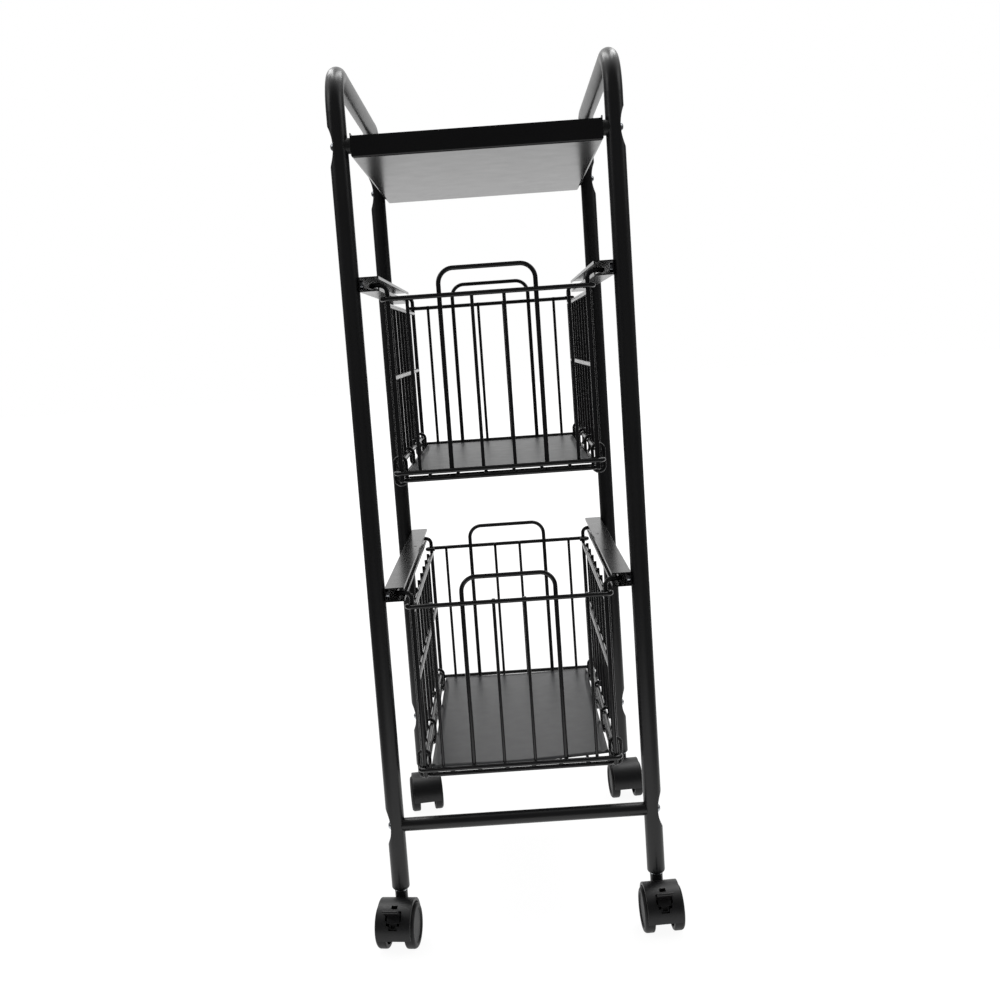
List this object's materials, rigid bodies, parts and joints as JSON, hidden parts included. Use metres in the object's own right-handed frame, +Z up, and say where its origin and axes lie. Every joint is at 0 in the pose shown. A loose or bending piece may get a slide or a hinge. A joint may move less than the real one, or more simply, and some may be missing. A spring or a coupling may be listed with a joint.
{
  "type": "rolling drawer cart",
  "caption": "Slim black steel cart with bent tube sides, a top tray, wire baskets that slide on channel rails, crossbars, and twin wheel casters with brakes at the front.",
  "frame": {"origin": "floor level under the middle of the cart's outline at rest", "axes": "+Z up; the front, where the braked casters and the baskets' pull side are, faces -Y; +X is to the viewer's right from the front"},
  "size_m": [0.2747, 0.3716, 0.7717],
  "materials": {
    "powder_coat": "smooth satin gloss black powder coat on steel tube and sheet",
    "coated_wire": "gloss black powder coat on drawn steel wire",
    "black_plastic": "moulded black nylon, satin",
    "wheel_plastic": "moulded black nylon, satin, slightly dulled tread",
    "liner_sheet": "dark grey polypropylene sheet, fine matt face",
    "zinc_plated": "bright zinc plate on steel"
  },
  "bodies": {
    "frame": {"side_frame_left": "powder_coat", "side_frame_right": "powder_coat", "top_shelf": "powder_coat", "shelf_spacers": "black_plastic", "shelf_bolts": "zinc_plated", "shelf_nuts": "zinc_plated", "front_crossbar": "powder_coat", "rear_crossbar": "powder_coat", "crossbar_plugs": "zinc_plated", "crossbar_bolts": "zinc_plated", "rail_upper_left": "powder_coat", "rail_upper_right": "powder_coat", "rail_lower_left": "powder_coat", "rail_lower_right": "powder_coat", "rail_screws": "zinc_plated", "leg_sockets": "black_plastic", "caster_stems": "zinc_plated"},
    "upper_basket": {"upper_side_left": "coated_wire", "upper_side_right": "coated_wire", "upper_front": "coated_wire", "upper_back": "coated_wire", "upper_front_handle": "coated_wire", "upper_back_handle": "coated_wire", "upper_floor": "coated_wire", "upper_rings": "coated_wire", "upper_liner": "liner_sheet"},
    "lower_basket": {"lower_side_left": "coated_wire", "lower_side_right": "coated_wire", "lower_front": "coated_wire", "lower_back": "coated_wire", "lower_front_handle": "coated_wire", "lower_back_handle": "coated_wire", "lower_floor": "coated_wire", "lower_rings": "coated_wire", "lower_liner": "liner_sheet"},
    "caster_fl": {"hood_fl": "black_plastic", "axle_fl": "zinc_plated"},
    "wheel_fl_left": {"wheel_fl_left": "wheel_plastic"},
    "wheel_fl_right": {"wheel_fl_right": "wheel_plastic"},
    "brake_fl": {"brake_fl": "black_plastic"},
    "caster_fr": {"hood_fr": "black_plastic", "axle_fr": "zinc_plated"},
    "wheel_fr_left": {"wheel_fr_left": "wheel_plastic"},
    "wheel_fr_right": {"wheel_fr_right": "wheel_plastic"},
    "brake_fr": {"brake_fr": "black_plastic"},
    "caster_rl": {"hood_rl": "black_plastic", "axle_rl": "zinc_plated"},
    "wheel_rl_left": {"wheel_rl_left": "wheel_plastic"},
    "wheel_rl_right": {"wheel_rl_right": "wheel_plastic"},
    "caster_rr": {"hood_rr": "black_plastic", "axle_rr": "zinc_plated"},
    "wheel_rr_left": {"wheel_rr_left": "wheel_plastic"},
    "wheel_rr_right": {"wheel_rr_right": "wheel_plastic"}
  },
  "joints": [
    {"name": "upper_basket_slide", "type": "slide", "parent": "frame", "child": "upper_basket", "axis": [0, -1, 0], "range_m": [-0.21, 0.21]},
    {"name": "lower_basket_slide", "type": "slide", "parent": "frame", "child": "lower_basket", "axis": [0, -1, 0], "range_m": [-0.21, 0.21]},
    {"name": "caster_fl_swivel", "type": "hinge", "parent": "frame", "child": "caster_fl", "pos_m": [-0.11575, -0.13965, 0.0452], "axis": [0, 0, 1], "continuous": true},
    {"name": "wheel_fl_left_spin", "type": "hinge", "parent": "caster_fl", "child": "wheel_fl_left", "pos_m": [-0.13141, -0.15556, 0.02], "axis": [0.9895, -0.1444, 0], "continuous": true},
    {"name": "wheel_fl_right_spin", "type": "hinge", "parent": "caster_fl", "child": "wheel_fl_right", "pos_m": [-0.10529, -0.15937, 0.02], "axis": [0.9895, -0.1444, 0], "continuous": true},
    {"name": "brake_fl_press", "type": "hinge", "parent": "caster_fl", "child": "brake_fl", "pos_m": [-0.12001, -0.16884, 0.032], "axis": [0.9895, -0.1444, 0], "range_deg": [0, 15]},
    {"name": "caster_fr_swivel", "type": "hinge", "parent": "frame", "child": "caster_fr", "pos_m": [0.11575, -0.13965, 0.0452], "axis": [0, 0, 1], "continuous": true},
    {"name": "wheel_fr_left_spin", "type": "hinge", "parent": "caster_fr", "child": "wheel_fr_left", "pos_m": [0.10358, -0.15836, 0.02], "axis": [0.9984, 0.0558, 0], "continuous": true},
    {"name": "wheel_fr_right_spin", "type": "hinge", "parent": "caster_fr", "child": "wheel_fr_right", "pos_m": [0.12993, -0.15688, 0.02], "axis": [0.9984, 0.0558, 0], "continuous": true},
    {"name": "brake_fr_press", "type": "hinge", "parent": "caster_fr", "child": "brake_fr", "pos_m": [0.1174, -0.1691, 0.032], "axis": [0.9984, 0.0558, 0], "range_deg": [0, 15]},
    {"name": "caster_rl_swivel", "type": "hinge", "parent": "frame", "child": "caster_rl", "pos_m": [-0.11575, 0.17785, 0.0452], "axis": [0, 0, 1], "continuous": true},
    {"name": "wheel_rl_left_spin", "type": "hinge", "parent": "caster_rl", "child": "wheel_rl_left", "pos_m": [-0.12621, 0.15813, 0.02], "axis": [0.9895, 0.1444, 0], "continuous": true},
    {"name": "wheel_rl_right_spin", "type": "hinge", "parent": "caster_rl", "child": "wheel_rl_right", "pos_m": [-0.10009, 0.16194, 0.02], "axis": [0.9895, 0.1444, 0], "continuous": true},
    {"name": "caster_rr_swivel", "type": "hinge", "parent": "frame", "child": "caster_rr", "pos_m": [0.11575, 0.17785, 0.0452], "axis": [0, 0, 1], "continuous": true},
    {"name": "wheel_rr_left_spin", "type": "hinge", "parent": "caster_rr", "child": "wheel_rr_left", "pos_m": [0.10394, 0.15891, 0.02], "axis": [0.9972, 0.075, 0], "continuous": true},
    {"name": "wheel_rr_right_spin", "type": "hinge", "parent": "caster_rr", "child": "wheel_rr_right", "pos_m": [0.13026, 0.16089, 0.02], "axis": [0.9972, 0.075, 0], "continuous": true}
  ]
}
